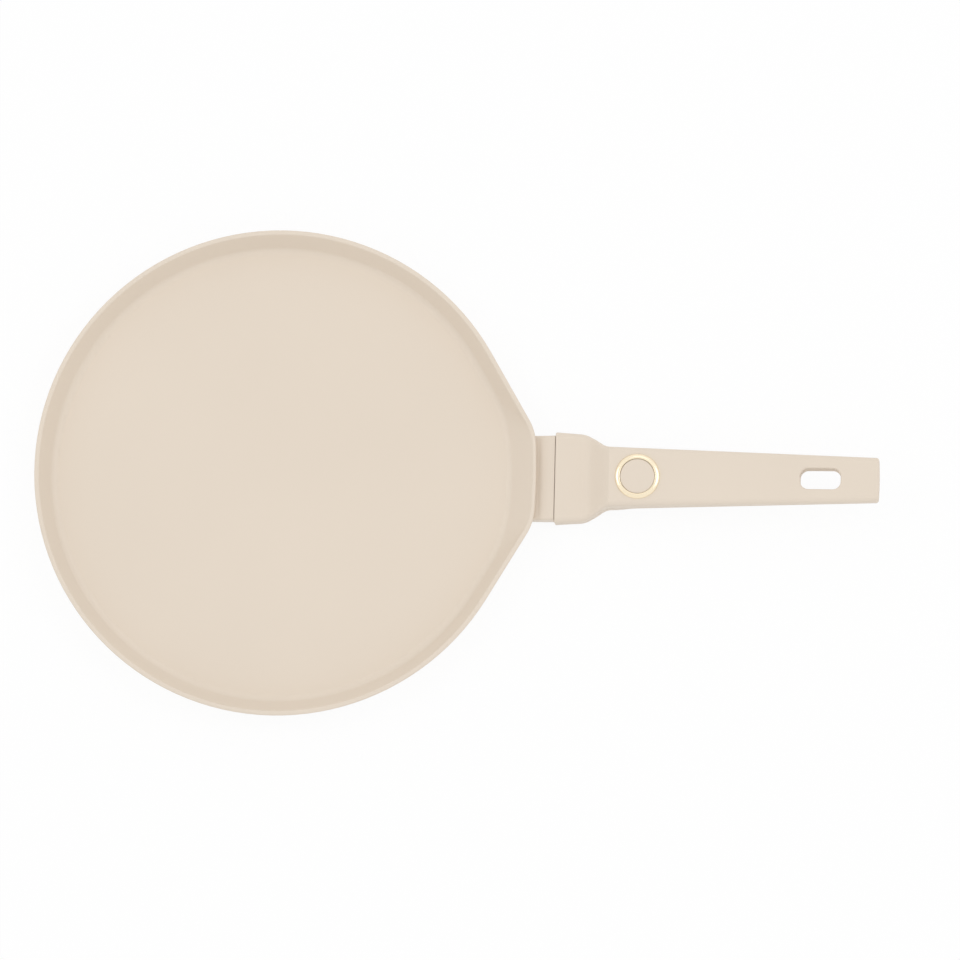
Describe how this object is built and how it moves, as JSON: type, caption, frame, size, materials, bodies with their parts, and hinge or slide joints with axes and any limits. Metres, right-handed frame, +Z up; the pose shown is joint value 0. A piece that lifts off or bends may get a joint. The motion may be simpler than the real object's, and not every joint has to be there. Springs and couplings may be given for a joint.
{
  "type": "crepe pan",
  "caption": "Low round crepe pan with a flared rim flange, a cast lug and a removable handle released by a push-button set in a domed bezel ring.",
  "frame": {"origin": "centre of the base's flat resting face", "axes": "+X towards the handle, +Z up out of the cooking surface, +Y to the left of the handle"},
  "size_m": [0.4496, 0.2602, 0.0327],
  "materials": {
    "pan_coating": "satin ceramic non-stick coating, warm cream",
    "base_steel": "fine circular brushing",
    "handle_plastic": "matt soft-touch phenolic, warm cream",
    "button_plastic": "matt, same colour as the handle",
    "bezel_gold": "pale gold plating, satin",
    "sleeve_steel": "plain stainless sheet",
    "spring_steel": "bright drawn wire",
    "screw_steel": "zinc-plated",
    "insert_brass": "turned"
  },
  "bodies": {
    "pan": {"pan_body": "pan_coating", "induction_plate": "base_steel"},
    "handle": {"handle_upper_shell": "handle_plastic", "handle_lower_shell": "handle_plastic", "socket_sleeve": "sleeve_steel", "latch_wire": "spring_steel", "trim_ring": "bezel_gold", "shell_screws": "screw_steel", "threaded_inserts": "insert_brass"},
    "button": {"release_button": "button_plastic"}
  },
  "joints": [
    {"name": "handle_pull", "type": "slide", "parent": "pan", "child": "handle", "axis": [0.999, 0, 0.0436], "range_m": [0, 0.04]},
    {"name": "button_press", "type": "slide", "parent": "handle", "child": "button", "axis": [0.0436, 0, -0.999], "range_m": [0, 0.0014], "stiffness_N_per_m": 2000, "springref_m": -0.0005, "deforming": ["latch_wire"]}
  ]
}
